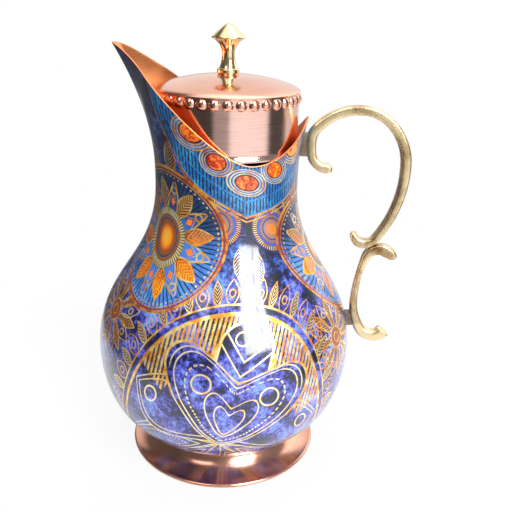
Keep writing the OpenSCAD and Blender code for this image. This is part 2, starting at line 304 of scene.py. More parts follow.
def vessel():
    """The bowl and the neck: closed shells with equal normals along their shared edge, so no seam shows."""
    half = rim_columns()
    cols = [(a, a, z) for a, z in half] + [(TAU - a, a, z) for a, z in half[-2:0:-1]]
    n = len(cols)
    verts, rows, arcs, printed = wall_rows(cols)
    low_rows = len(FLOOR_RADII) + LOW_STEPS  # rows of the bowl, outside and again inside
    faces, mats, in_bowl = wall_faces(verts, rows, arcs, n, printed, low_rows)
    normals = smooth_normals(verts, faces)
    seam_out, seam_in = rows[low_rows - 1], rows[-low_rows]
    out = []
    for bowl, name in ((True, "belly_skin"), (False, "neck_skin")):
        own = [f for f, b in zip(faces, in_bowl) if b == bowl]
        own_mats = [m for m, b in zip(mats, in_bowl) if b == bowl]
        for j in range(n):
            k = (j + 1) % n
            quad = (seam_out + j, seam_out + k, seam_in + k, seam_in + j)
            own.append(quad if bowl else quad[::-1])
            own_mats.append(BARE)
        out.append(shell(name, verts, own, own_mats, arcs, normals))
    return out


# ---------- turned pieces ----------


TURNED, SMALL_TURNED = 224, 96  # points round a large and a small turned piece
SMALL_SHARP = 50  # degrees


def foot():
    hem_r = FOOT_R - HEM_R
    outer = [(FOOT_TOP_R, FOOT_H), (FOOT_TOP_R + 1, 8.5), (FOOT_TOP_R + 6.6, 3.6), (hem_r - 0.8, 2 * HEM_R)]
    inner = [(hem_r - 1.6, HEM_R + 0.3), (FOOT_TOP_R + 6, 2.6), (FOOT_TOP_R, 8), (FOOT_TOP_R - 1, FOOT_H)]
    outline = traced(outer, 33, True) + traced(inner, 33, True)
    outline += [(hem_r - 1.2, 0.9), (hem_r - 0.9, 0.15), (hem_r - 0.5, 0), (hem_r + 0.3, 0)]
    outline += arc(hem_r, HEM_R, HEM_R, -70, 88, 12)
    return revolve("foot_skin", outline, TURNED)


def drum():
    """A straight tube with a flared lower rim."""
    ri, ro, bell_in = DRUM_R - LID_T, DRUM_R, BELL_R - LID_T
    b = DRUM_BOTTOM
    outline = [(ri, DRUM_TOP), (ri, b + 5)]
    outline += traced([(ri, b + 4.6), (ri, b + 2.6), (bell_in, b + 2), (bell_in, b + 0.2)], 8)
    outline += [(bell_in + 0.15, b), (BELL_R - 0.15, b)]
    outline += traced([(BELL_R, b + 0.2), (BELL_R, b + 2), (ro, b + 2.6), (ro, b + 4.6)], 8)
    outline += [(ro, b + 5), (ro, DRUM_TOP)]
    return revolve("drum_skin", outline, TURNED)


def dome():
    lip_z, under = DRUM_TOP + 0.7, DOME_TOP - LID_T
    outer = [(SEAT_R, DOME_TOP), (20, DOME_TOP), (DOME_R - 2.9, DRUM_TOP + 4), (DOME_R, lip_z)]
    inner = [(DOME_R - 2.2, lip_z - 0.2), (DOME_R - 4.4, DRUM_TOP + 3.1), (20, under), (SEAT_R, under)]
    outline = [(STUD_HOLE, DOME_TOP), (STUD_HOLE, under)]
    outline += traced(inner, 45, True)
    outline += [(DOME_R - 2.2, DRUM_TOP), (DOME_R - 0.35, DRUM_TOP)]
    outline += [(DOME_R - 0.1, DRUM_TOP + 0.12), (DOME_R, DRUM_TOP + 0.4)]
    outline += traced(outer, 45, True)
    return revolve("dome_skin", outline, TURNED)


def collar():
    q = 1.1
    outline = [(STUD_HOLE, COLLAR_TOP), (STUD_HOLE, DOME_TOP), (COLLAR_R - 0.6, DOME_TOP)]
    outline += arc(COLLAR_R - q, DOME_TOP + 1.2, q, -60, 0, 6)
    outline += arc(COLLAR_R - q, COLLAR_TOP - q, q, 0, 84, 9)
    return revolve("collar_skin", outline, SMALL_TURNED, SMALL_SHARP)


def knob():
    """A slim stem under a cup and a pointed cap, bored from below for the stud."""
    rim_z, waist_z = COLLAR_TOP + 0.67 * KNOB_H, COLLAR_TOP + 0.32 * KNOB_H
    rim_r, hole = KNOB_R - 0.1, COLLAR_TOP + 8.4
    stem = [(5.4, COLLAR_TOP), (4.3, COLLAR_TOP + 2.6), (KNOB_WAIST, COLLAR_TOP + 5), (KNOB_WAIST, waist_z)]
    cup = [(KNOB_WAIST, waist_z), (KNOB_WAIST, waist_z + 4), (KNOB_WAIST + 2.6, rim_z - 1.8), (rim_r, rim_z)]
    cap = [(rim_r, rim_z + 0.7), (KNOB_R - 3, rim_z + 3.4), (3, KNOB_TOP - 1.2), (0.9, KNOB_TOP - 0.25)]
    outline = [(0, hole), (STUD_HOLE, hole), (STUD_HOLE, COLLAR_TOP)]
    outline += traced(stem, 25) + traced(cup, 25)[1:]
    outline += [(KNOB_R, rim_z + 0.2), (KNOB_R, rim_z + 0.5)] + traced(cap, 25)
    outline += [(0.45, KNOB_TOP - 0.06), (0, KNOB_TOP)]
    return revolve("knob_skin", outline, SMALL_TURNED, SMALL_SHARP)


BEAD_RINGS, BEAD_SEG = 9, 28


def bead_points(out, side):
    """One bead from the middle of its dome to its foot, which runs into the drum."""
    ball = (BEAD_R**2 + BEAD_H**2) / (2 * BEAD_H)  # radius of the sphere that the dome is cut from
    top = math.asin(BEAD_R / ball)
    middle = np.array([0, 0, DRUM_TOP - BEAD_R - 0.1])
    centre = middle + out * (DRUM_R + BEAD_H - ball)
    foot_middle = middle + out * (DRUM_R - 0.5)
    turns = np.arange(BEAD_SEG) * TAU / BEAD_SEG
    spokes = [side * math.cos(w) + np.array([0, 0, 1]) * math.sin(w) for w in turns]
    points = [centre + out * ball]
    for k in range(1, BEAD_RINGS + 1):
        a = top * k / BEAD_RINGS
        points += [centre + out * ball * math.cos(a) + ball * math.sin(a) * spoke for spoke in spokes]
    return points + [foot_middle + BEAD_R * spoke for spoke in spokes]


def beads():
    """A row of pressed domes round the top of the drum."""
    verts, faces = [], []
    for i in range(BEADS):
        turn = (i + 0.5) * TAU / BEADS
        out, side = (math.cos(turn), math.sin(turn), 0), (-math.sin(turn), math.cos(turn), 0)
        first = len(verts) + 1
        last = first + BEAD_RINGS * BEAD_SEG
        verts += bead_points(np.array(out), np.array(side))
        faces += [(first - 1, first + s, first + (s + 1) % BEAD_SEG) for s in range(BEAD_SEG)]
        faces += grid_faces(BEAD_RINGS + 1, BEAD_SEG, first, flip=True)
        faces.append(tuple(range(last, last + BEAD_SEG))[::-1])
    obj = make_mesh("bead_row", verts, faces)
    obj.data.set_sharp_from_angle(angle=math.radians(40))
    return obj


# ---------- handle ----------


def arc_point(p, heading, r, turn):
    """Where a walk along an arc from p ends, and its new heading; turns are in degrees, + to the left."""
    s = math.copysign(r, turn)
    a, b = math.radians(heading), math.radians(heading + turn)
    return p[0] + s * (math.sin(b) - math.sin(a)), p[1] - s * (math.cos(b) - math.cos(a)), heading + turn


def route(start, heading, depth, arcs, step=4.0):
    """Points (x, z, heading, depth) along arcs of [radius, turn, depth at the arc's end]."""
    out = []
    for r, turn, end_depth in arcs:
        steps = max(1, math.ceil(abs(turn) / step))
        for s in range(steps):
            share = s / steps
            out.append((*arc_point(start, heading, r, turn * share), depth + (end_depth - depth) * share))
        x, z, heading = arc_point(start, heading, r, turn)
        start, depth = (x, z), end_depth
    return out + [(start[0], start[1], heading, depth)]


UPPER_ROUTE = route((65.2, 196.9), 197, 0.42, [
    (10.2, -18, 0.8), (10.2, -74, 0.9), (27.6, -26, 0.96), (8.8, -28, 0.94), (33.7, -58, 0.88),
    (26.3, -37, 0.94), (36.8, -42, 1.02), (74.3, -41, 0.8), (8, -84, 0.94), (7, -60, 0.4)])  # fmt: skip
LOWER_ROUTE = route((109.5, 139.1), 134, 0.5, [
    (25.5, 17, 1.06), (8.9, 96, 0.74), (57.4, 9, 0.48), (96.8, 14, 0.66), (37.7, 31, 0.9),
    (10.7, 49, 0.98), (8.9, 66, 1)])  # fmt: skip


def scroll(name, path, t, w, power=3.6):
    """A cast bar with flattened sides swept along a route in the XZ plane, with softened ends."""
    path = np.array(path)
    for col in (0, 1, 3):  # ease the joints between arcs, where the depth changes slope
        v = path[:, col]
        for _ in range(2):
            v[1:-1] = 0.25 * v[:-2] + 0.5 * v[1:-1] + 0.25 * v[2:]
    run = np.concatenate([[0], np.cumsum(np.linalg.norm(np.diff(path[:, :2], axis=0), axis=1))])
    near_end = np.minimum(run, run[-1] - run)
    path[:, 3] *= 1 + 0.24 * np.exp(-((near_end / 5) ** 2))  # the tips are hammered a little wider
    seg = 40
    ang = (np.arange(seg) + 0.5) * TAU / seg
    c, s = np.cos(ang), np.sin(ang)
    k = (np.abs(c) ** power + np.abs(s) ** power) ** (-1 / power)
    ends = ((0.35, 0), (0.72, 0.25), (0.92, 0.65), (1.0, 1.2))  # share of the section, distance from the end
    last = len(path) - 1
    rings = [(0, f, d) for f, d in ends] + [(i, 1.0, 0) for i in range(1, last)]
    rings += [(last, f, -d) for f, d in ends[::-1]]
    verts = []
    for i, f, d in rings:
        x, z, heading, depth = path[i]
        h = math.radians(heading)
        thick, wide = t * depth * f, w * min(1, math.sqrt(1.3 * depth)) * (0.4 + 0.6 * f)
        px, pz = x + d * math.cos(h), z + d * math.sin(h)
        section = zip(thick / 2 * c * k, wide / 2 * s * k)
        verts += [(px - a * math.sin(h), b, pz + a * math.cos(h)) for a, b in section]
    faces = grid_faces(len(rings), seg)
    faces.append(tuple(range(seg))[::-1])
    faces.append(tuple(range(len(verts) - seg, len(verts))))
    return make_mesh(name, verts, faces)


# ---------- shader maths ----------


class Net:
    """A small calculator that writes Math nodes in the order in which they are worked out."""

    def __init__(self, tree):
        self.tree = tree

    def math(self, op, *args, clamp=False):
        node = self.tree.nodes.new("ShaderNodeMath")
        node.operation = op
        node.use_clamp = clamp
        for i, a in enumerate(args):
            self.plug(node.inputs[i], a)
        return Val(self, node.outputs[0])

    def plug(self, socket, value):
        if isinstance(value, Val):
            self.tree.links.new(value.out, socket)
        elif isinstance(value, bpy.types.NodeSocket):
            self.tree.links.new(value, socket)
        else:
            socket.default_value = value

    def node(self, kind, **props):
        node = self.tree.nodes.new(kind)
        for key, value in props.items():
            setattr(node, key, value)
        return node

    def place(self, unit=1):
        """The object coordinates as a socket, and their three parts in the given unit."""
        pos = self.node("ShaderNodeTexCoord").outputs["Object"]
        return pos, self.parts(pos, unit)

    def parts(self, vector, unit=1):
        sep = self.node("ShaderNodeSeparateXYZ")
        self.plug(sep.inputs[0], vector)
        parts = [Val(self, sep.outputs[i]) for i in range(3)]
        return parts if unit == 1 else [p * unit for p in parts]

    def is_camera_ray(self):
        return Val(self, self.node("ShaderNodeLightPath").outputs["Is Camera Ray"])

    def colour_mix(self, fac, a, b):
        node = self.node("ShaderNodeMix", data_type="RGBA")
        self.plug(node.inputs[0], fac)
        self.plug(node.inputs[6], a)
        self.plug(node.inputs[7], b)
        return node.outputs[2]

    def noise(self, vector, scale, detail=4.0, rough=0.55):
        node = self.node("ShaderNodeTexNoise")
        self.plug(node.inputs["Vector"], vector)
        node.inputs["Scale"].default_value = scale
        node.inputs["Detail"].default_value = detail
        node.inputs["Roughness"].default_value = rough
        return Val(self, node.outputs["Fac"])

    def vector(self, x, y, z):
        node = self.node("ShaderNodeCombineXYZ")
        for i, v in enumerate((x, y, z)):
            self.plug(node.inputs[i], v)
        return node.outputs[0]

    def ramp(self, fac, stops):
        node = self.node("ShaderNodeValToRGB")
        elements = node.color_ramp.elements
        while len(elements) < len(stops):
            elements.new(0.5)
        for e, (pos, col) in zip(elements, stops):
            e.position = pos
            e.color = (*col, 1)
        self.plug(node.inputs[0], fac)
        return node.outputs[0]

    def float_curve(self, value, points):
        node = self.node("ShaderNodeFloatCurve")
        c = node.mapping.curves[0]
        c.points[0].location = points[0]
        c.points[1].location = points[-1]
        for p in points[1:-1]:
            c.points.new(*p)
        node.mapping.update()
        self.plug(node.inputs["Value"], value)
        return Val(self, node.outputs[0])


class Val:
    """A number in a node tree, which is calculated with like a Python number."""

    def __init__(self, net, out):
        self.net, self.out = net, out

    def __add__(self, o):
        return self.net.math("ADD", self, o)

    __radd__ = __add__

    def __sub__(self, o):
        return self.net.math("SUBTRACT", self, o)

    def __rsub__(self, o):
        return self.net.math("SUBTRACT", o, self)

    def __mul__(self, o):
        return self.net.math("MULTIPLY", self, o)

    __rmul__ = __mul__

    def __truediv__(self, o):
        return self.net.math("DIVIDE", self, o)

    def __pow__(self, o):
        return self.net.math("POWER", self, o)

    def __abs__(self):
        return self.net.math("ABSOLUTE", self)

    def lt(self, o):
        return self.net.math("LESS_THAN", self, o)

    def mx(self, o):
        return self.net.math("MAXIMUM", self, o)

    def mn(self, o):
        return self.net.math("MINIMUM", self, o)

    def sin(self):
        return self.net.math("SINE", self)

    def cos(self):
        return self.net.math("COSINE", self)

    def wrap(self, low, high):
        return self.net.math("WRAP", self, high, low)


EDGE = 0.38  # softness of a printed edge


def length(x, y):
    return (x * x + y * y) ** 0.5


def fill(d, edge=EDGE):
    """1 where d is below 0."""
    return d.net.math("MULTIPLY_ADD", d, -1 / edge, 0.5, clamp=True)


def line(d, width, edge=EDGE):
    """1 within half the width of d = 0."""
    return fill(abs(d) - width / 2, edge)


# ---------- the print ----------

GOLD = (0.95, 0.52, 0.07)
CREAM = (0.96, 0.78, 0.34)
ORANGE = (0.95, 0.20, 0.008)
AMBER = (1.0, 0.42, 0.015)
RUST = (0.30, 0.055, 0.012)
NAVY = (0.002, 0.004, 0.022)
BLUE = (0.012, 0.03, 0.24)
VIOLET = (0.06, 0.05, 0.36)
SKY = (0.08, 0.28, 0.70)
CYAN = (0.012, 0.17, 0.46)

# Colours of the clouds by the brightness of their noise.
LOW_CLOUDS = [
    (0.462, NAVY), (0.486, BLUE), (0.51, VIOLET), (0.545, (0.12, 0.13, 0.58)), (0.60, (0.17, 0.33, 0.76)),
]  # fmt: skip
HIGH_CLOUDS = [(0.455, NAVY), (0.50, (0.005, 0.02, 0.12)), (0.55, (0.015, 0.08, 0.34)), (0.62, SKY)]
SUN_SKY = [(0.36, (0.02, 0.08, 0.40)), (0.47, (0.04, 0.17, 0.54)), (0.56, SKY), (0.66, (0.22, 0.50, 0.85))]
TEAL = [(0.38, (0.006, 0.02, 0.10)), (0.455, (0.015, 0.12, 0.38)), (0.52, CYAN), (0.64, (0.06, 0.38, 0.70))]
EMBER = [(0.44, (0.35, 0.01, 0.002)), (0.505, (0.95, 0.12, 0.004)), (0.57, AMBER)]

# Where the motifs are: degrees round the wall, and heights in mm along it.
FRONT = 70  # from the handle to the front mirror line; the places below count from that line
HEART_AT, HEART_H, HEART_LEAN = 17.4, 44.8, 13.5
RING_R, RING_TALLER = 66, 1.3
FLOWER_AT, FLOWER_H = 62, 104  # counted from the heart mandala
HALF_SUN_AT, HALF_SUN_H, HALF_SUN_R = 20.5, 179, 14
SUN_AT, SUN_H, SUN_R = 132, 160.4, 41  # counted from the handle
PLUME_H, PLUME_HALF = 217, 30
BAND_H = 184.7
MEDALLIONS = ((0, 205.3, 6.4, 4.2), (22.8, 214.4, 5.2, 4.4), (40, 228, 6.6, 5.2))  # place, height, half sizes

# How far the heart's outline is from its middle, at shares of a half turn from its tip.
HEART = [
    (0, 30), (0.17, 25.5), (0.335, 25.3), (0.479, 31), (0.553, 36), (0.62, 40.8), (0.663, 42.4),
    (0.703, 42.2), (0.754, 38.7), (0.797, 31.4), (0.87, 20.5), (0.94, 15.2), (1, 13.4),
]  # fmt: skip


def heart(net, x, y, cy, sx, sy):
    """Distance outside a heart sx, sy times the main one's size, and how far round from its tip, 0 to 1."""
    px, py = abs(x) * (1 / sx), (y - cy) * (1 / sy)
    turn = net.math("ARCTAN2", py, px) * (1 / math.pi) + 0.5
    scale = 50  # keeps the curve's values below 1
    edge = net.float_curve(turn, [(a, b / scale) for a, b in HEART]) * scale
    return (length(px, py) - edge) * ((sx + sy) / 2), turn


class Print:
    """Where a point lies on the wall, and the colours and layers of the print there."""

    def __init__(self, net):
        self.net = net
        attr = net.node("ShaderNodeAttribute", attribute_name="arc")
        self.pos, (x, y, _) = net.place(1 / MM)
        self.height = Val(net, attr.outputs["Fac"])  # measured along the wall
        self.turn = abs(net.math("ARCTAN2", y, x)) * (180 / math.pi)  # 0 at the handle, 180 at the spout
        self.per_deg = length(x, y) * (math.pi / 180)
        self.side = FRONT - self.turn  # degrees from the front mirror line, + towards the handle
        self.apart = abs(self.side)
        self.askew = self.height + self.side * 0.135  # height in a print that was laid on a little askew
        self.cloud = net.noise(self.pos, 62, 5, 0.62)
        self.fine = net.noise(self.pos, 380, 4, 0.75)
        self.mottle = self.cloud * 0.5 + self.fine * 0.5
        glow = net.noise(self.pos, 170, 3, 0.6)
        self.low = net.ramp(self.mottle, LOW_CLOUDS)
        high = net.ramp(self.mottle, HIGH_CLOUDS)
        self.gold = net.ramp(glow, [(0.40, (0.85, 0.30, 0.02)), (0.50, GOLD), (0.60, CREAM)])
        self.cream = net.ramp(glow, [(0.34, GOLD), (0.45, CREAM), (0.64, (1.0, 0.90, 0.58))])
        self.bronze = net.ramp(glow, [(0.42, (0.55, 0.11, 0.01)), (0.52, (0.90, 0.34, 0.03)), (0.62, GOLD)])
        up = net.math("MULTIPLY_ADD", self.height, 1 / 26, -5.2, clamp=True)
        self.colour = net.colour_mix(up, self.low, high)
        self.leafed = None  # how much gold leaf lies on top

    def flat(self, mask, colour):
        c = (*colour, 1) if isinstance(colour, tuple) else colour
        self.colour = self.net.colour_mix(mask, self.colour, c)

    def cover(self, mask, colour):
        """A flat colour that hides the gold below it."""
        self.flat(mask, colour)
        if self.leafed is not None:
            self.leafed = self.leafed * (1 - mask)

    def leaf(self, mask, colour):
        self.flat(mask, colour)
        self.leafed = mask if self.leafed is None else self.leafed.mx(mask)

    def sector(self, r, angle, offset, half):
        """Along and across the middle line of the nearest sector; sectors are twice half degrees wide."""
        k = (angle + offset).wrap(-half, half) * (math.pi / 180)
        return r * k.cos(), abs(r * k.sin())

    def span(self, p, start, long):
        """0 to 1 from the start of a petal to its tip."""
        return self.net.math("MULTIPLY_ADD", p, 1 / long, -start / long, clamp=True)


def spread(angle, step, r):
    """Distance from the nearest of the rays that stand step degrees apart."""
    return (angle * (1 / step)).wrap(-0.5, 0.5) * (step * math.pi / 180) * r


def bow(span):
    """The half outline of a petal with a point at both ends."""
    return (span * math.pi).sin()


def flowers(ink):
    """Eight-petalled flowers low beside the spout and the handle."""
    u = abs(abs(ink.side + HEART_AT) - FLOWER_AT) * ink.per_deg
    v = ink.height - FLOWER_H + ink.side * 0.12
    r = length(u, v)
    angle = ink.net.math("ARCTAN2", v, u) * (180 / math.pi)
    for offset, feather in ((0, True), (22.5, False)):
        p, q = ink.sector(r, angle, offset, 22.5)
        body = q - bow(ink.span(p, 7, 19)) * (3.4 if feather else 4.2)
        if feather:
            ink.flat(fill(body), (0.16, 0.05, 0.035))
            rib = (p - q * 1.1).wrap(0, 2.3) - 1.1
            ink.leaf(line(rib, 0.5) * fill(body) * 0.8, ink.gold)
        else:
            ink.leaf(line(length(p - 18, q) - 1.9, 0.8), ink.gold)
        ink.leaf(line(body, 0.7) * fill(6 - p) * fill(p - 26), ink.gold)
    ink.cover(fill(r - 7), RUST)
    ink.leaf(line(r - 6.6, 0.8).mx(line(r - 3, 0.8)), ink.gold)


def ring_petals(ink, r, angle):
    """Petals round the outside of the heart mandala's ring, every second one a feather."""
    for offset, feather in ((0, False), (6.43, True)):
        p, q = ink.sector(r, angle, offset, 6.43)
        body = q - bow(ink.span(p, RING_R + 3, 13)) * (2.5 if feather else 3.7)
        outside = fill(RING_R + 4.5 - p) * fill(p - RING_R - 16)
        if feather:
            ink.flat(fill(body) * outside, (0.10, 0.06, 0.06))
            rib = (p - q * 1.2).wrap(0, 1.7) - 0.85
            ink.leaf(line(rib, 0.45) * fill(body) * outside, ink.cream)
        else:
            ink.leaf(line(length(p - RING_R - 9.5, q) - 1.7, 0.6), ink.gold)
        ink.leaf(line(body, 0.55) * outside, ink.gold)


def side_petals(ink, r, angle):
    """Long petals in pairs that fan out from the tip of the heart, with a ladder between two of them."""
    long = RING_R - 2
    for at, wide, knobbed in ((144, 15, False), (108, 13, False), (72, 17, True)):
        k = (angle - at) * (math.pi / 180)
        p, q = r * k.cos(), abs(r * k.sin())
        body = q - bow(ink.span(p, 0, long) ** 1.5) * wide
        near = fill(abs(k) - 1.2) * fill(p - long) * fill(0 - p)
        ink.cover(fill(body) * near, ink.low)
        ink.leaf(line(body, 0.8).mx(line(body + 3.2, 0.7)) * near, ink.cream)
        if knobbed:
            ink.leaf(line(length(p - 51.5, q) - 4, 0.9) * near, ink.cream)
        else:
            ink.leaf(line(body + 6.4, 0.8) * (p * 0.5).wrap(0, 1).lt(0.5) * near, ink.cream)
    rungs = line((r - 20).wrap(-1.25, 1.25), 0.8) * fill(abs(r - 24) - 5) * fill(abs(angle - 58) - 3.5)
    ink.leaf(rungs, ink.cream)


def striped_field(ink, x, y, r, angle):
    """Gold stripes above the heart, parted by an arch that holds two rings and a double V."""
    half = 15.8  # of the arch's width
    arch = length(x, (y - 66).mx(0)) - half
    field = fill(angle - 64) * fill(47 - r) * fill(r - RING_R)
    stripe = x.wrap(-1.35, 1.35)
    hatch = line(stripe, 1.25).mx(line(stripe + 0.8, 0.5) * fill(abs(ink.fine - 0.5) - 0.04, 0.02))
    wedge = fill((abs(x) - half) * 1.2 + (y - 60) * 0.35 - 4.2, 1.2) * fill(y - 66)
    ink.leaf(field * hatch.mx(wedge), ink.gold)
    ink.cover(fill(arch) * fill(52 - y), ink.low)
    ink.leaf(line(arch, 1.3) * fill(56 - y), ink.cream)
    vee = (y - 59 - abs(x) * 1.05) * 0.69
    ink.leaf(line(vee, 0.9).mx(line(vee + 6.0, 0.9)) * fill(arch + 0.4), ink.cream)
    rings = length(abs(x - 0.7) - 4.8, y - 71.5) - 3.9
    ink.leaf(line(rings, 0.8), ink.cream)


def nested_hearts(ink, x, y):
    """The big heart with a gold crown, its dashed seam, two small hearts and a ring in each lobe."""
    outer, _ = heart(ink.net, x, y, 31.5, 1.17, 1.1)
    ink.cover(fill(outer), ink.low)
    main, turn = heart(ink.net, x, y, 30, 1, 1)
    crown = fill(0.48 - turn, 0.05)
    ink.leaf(line(outer, 1.6) * crown, ink.gold)
    ink.leaf(line(outer, 0.8) * (1 - crown), ink.cream)
    ink.leaf(line(main, 0.9), ink.cream)
    ink.leaf(line(main - 3.4, 0.8) * fill(0.62 - turn, 0.05), ink.cream)
    seam, seam_turn = heart(ink.net, x, y, 28.3, 0.795, 0.845)
    ink.leaf(line(seam, 1.0) * (seam_turn * 30).wrap(0, 1).lt(0.58), ink.cream)
    for cy, sx, sy in ((22.8, 0.42, 0.53), (19.9, 0.235, 0.36)):
        d, _ = heart(ink.net, x, y, cy, sx, sy)
        ink.leaf(line(d, 0.95), ink.cream)
    ring = length(abs(x) - 20.6, y - 40.4) - 5.7
    ink.leaf(line(ring, 1.05), ink.cream)


def heart_mandala(ink):
    """The ring on the belly and all that is in it, measured from the point where its petals meet."""
    u, v = (ink.side + HEART_AT) * ink.per_deg, ink.height - HEART_H
    lean = math.radians(HEART_LEAN)
    x = u * math.cos(lean) - v * math.sin(lean) - 0.8
    y = u * math.sin(lean) + v * math.cos(lean)
    flat_y = y / RING_TALLER
    r = length(x, flat_y)
    angle = abs(ink.net.math("ARCTAN2", abs(x), flat_y)) * (180 / math.pi)
    ring_petals(ink, r, angle)
    ink.cover(fill(r - RING_R), ink.low)
    side_petals(ink, r, angle)
    striped_field(ink, x, y, r, angle)
    nested_hearts(ink, x, y)
    ink.leaf(line(r - RING_R, 1.7).mx(line(r - RING_R - 4.3, 0.8)), ink.gold)


def front_line(ink):
    """Half mandalas, a ladder and feathers on both sides of the front mirror line."""
    u, v = (ink.apart - HALF_SUN_AT) * ink.per_deg, ink.askew - HALF_SUN_H
    r = length(u, v)
    rays = 60
    ray = (ink.net.math("ARCTAN2", u, v) * (rays / TAU)).wrap(-0.5, 0.5) * (TAU / rays) * r
    ink.cover(fill(r - HALF_SUN_R), (0.03, 0.02, 0.10))
    ink.leaf(line(ray, 0.45, 0.3) * fill(r - 8.6), (0.55, 0.30, 0.20))
    ink.flat(line(r - 9.4, 1.1), (0.03, 0.10, 0.55))
    ink.leaf(line(r - 11.6, 2.6) * line(ray, 0.42, 0.3), ink.gold)
    ink.flat(line(r - 6.4, 0.7), BLUE)
    ink.cover(fill(r - 3.0, 1.5), ORANGE)
    rung = (ink.askew - 171).wrap(-1.1, 1.1)
    ink.flat(fill(ink.apart * ink.per_deg - 3.4) * line(rung, 0.9) * line(ink.askew - 176, 11), NAVY)
    x, y = ink.apart * ink.per_deg - 5.6, ink.askew - 156
    plume = abs(x) - 3.6 * (1 - (y * y) / 100)
    rib = (y + abs(x) * 1.3).wrap(-1, 1)
    ink.leaf(fill(plume) * fill(142 - ink.askew) * line(rib, 0.4).mx(line(plume, 0.5)), ink.cream)


def sun_leaves(ink, r, angle, height):
    """Dark leaves round the outside of the sunflower, where they stand clear of the front line."""
    p, q = ink.sector(r, angle, 0, 11.25)
    body = q - bow(ink.span(p, 36, 22)) * 4.6
    rim = fill(p - 57) * fill(40 - p) * fill(-4 - height) * fill(33 - ink.apart)
    ink.flat(fill(body) * rim, (0.02, 0.02, 0.05))
    rib = (p - q * 1.2).wrap(-1.1, 1.1)
    ink.leaf(line(body, 0.6).mx(line(rib, 0.4) * fill(body)) * rim, ink.gold)


def sun_petals(ink, r, angle, upper_shade):
    """Eight orange leaves and eight pointed petals by turns, with painted shade over the upper half."""
    start, tip = 12.5, 33
    p, q = ink.sector(r, angle, -6, 22.5)
    body = q - (1 - ink.span(p, start, 21)) ** 0.7 * 5.6
    within = fill(start - p) * fill(p - tip)
    # painted shade: the blue of the petals fades out towards the top of the disc
    ink.flat(fill(body) * within * (1 - upper_shade * 0.8), (0.06, 0.20, 0.62))
    ink.leaf(line(body, 0.8) * within, ink.gold)
    ink.leaf(line(length(p - 26.8, q) - 2.1, 1.0), ink.gold)
    ink.leaf(line(p + q * 1.6 - 24.4, 0.6) * fill(body) * within, ink.gold)
    ink.cover(fill(abs(p - 19.5) + q * 1.5 - 2.8) * within, ORANGE)

    p, q = ink.sector(r, angle, 16.5, 22.5)
    body = q - bow(ink.span(p, start, 21) ** 0.9) * 4.3
    ink.flat(fill(body), ink.net.ramp(ink.mottle, [(0.40, RUST), (0.46, ORANGE), (0.58, AMBER)]))
    rib = (p - q * 1.2).wrap(-1.2, 1.2)
    # painted shade: the orange leaves go dark towards the top of the disc
    ink.flat(fill(body) * upper_shade * 0.8, (0.03, 0.012, 0.01))
    ink.flat(line(rib, 0.55) * fill(body + 0.8), (0.12, 0.02, 0.01))
    # cream ribs are drawn only within the painted shade of the upper half
    ink.leaf(line(rib, 0.5) * fill(body + 0.4) * upper_shade, ink.cream)
    ink.leaf(line(body, 0.7) * fill(12 - p) * fill(p - tip), ink.gold)


def sun_eye(ink, r, angle):
    """The glowing centre in its collar of gold ticks."""
    ink.cover(fill(r - 14.6), (0.02, 0.015, 0.02))
    ink.leaf(line(spread(angle, 6, r), 0.85, 0.3) * line(r - 12.6, 3.6), ink.cream)
    ink.cover(fill(r - 10.4), (0.30, 0.10, 0.02))
    ink.flat(line(r - 8.6, 0.9), (0.01, 0.05, 0.16))
    ink.flat(line(spread(angle, 4, r), 0.22, 0.3) * fill(r - 8), RUST)
    ink.flat(fill(r - 5.4, 2.0), ORANGE)
    ink.flat(fill(r - 3.6, 2.6), (1.0, 0.50, 0.03))


def sunflowers(ink):
    """Round mandalas under the collar, one at the handle and one on each side of the spout."""
    at_handle = ink.turn.lt(FRONT)
    u = (ink.turn * at_handle + (ink.turn - SUN_AT) * (1 - at_handle)) * ink.per_deg
    v = ink.askew - SUN_H
    v = v * (1 - 0.1 * v.lt(0))
    stretch = ink.net.math("MULTIPLY_ADD", length(u, v), -0.009, 1.35).mx(1.0)  # the eye is taller than wide
    v = v / stretch
    r = length(u, v)
    angle = ink.net.math("ARCTAN2", v, u) * (180 / math.pi)
    sun_leaves(ink, r, angle, v)
    disc = fill(r - SUN_R)
    ink.cover(disc, ink.net.ramp(ink.mottle, SUN_SKY))
    # painted shade: the upper half of each sunflower is darkened towards navy, more towards the top
    upper_shade = ink.net.math("MULTIPLY_ADD", v, 1 / 16, 0.05, clamp=True)
    ink.flat(disc * upper_shade * 0.85, NAVY)
    ink.flat(line(spread(angle, 4.5, r), 0.7) * disc * fill(17 - r), NAVY)
    sun_petals(ink, r, angle, upper_shade)
    sun_eye(ink, r, angle)
    edge = r - SUN_R
    dot = length(edge + 5.2, spread(angle, 5, r)) - 0.6
    ink.leaf(fill(dot, 0.3), ink.gold)
    ink.leaf(line(edge + 0.4, 1.5).mx(line(edge + 3, 0.7)), ink.bronze)
    ink.flat(line(edge + 1.7, 0.9), (0.25, 0.03, 0.015))


def spout_plume(ink):
    """A plume under the spout, on the line where the two mirrored halves meet."""
    x, y = (180 - ink.turn) * ink.per_deg, ink.height - PLUME_H
    body = x - 8.5 * (1 - (y * y) / PLUME_HALF**2)
    rib = (y + x * 1.1).wrap(-1.6, 1.6)
    ink.cover(fill(body), NAVY)
    ink.leaf(fill(body) * line(rib, 0.7).mx(line(x, 1.0)).mx(line(body, 0.9)), ink.bronze)


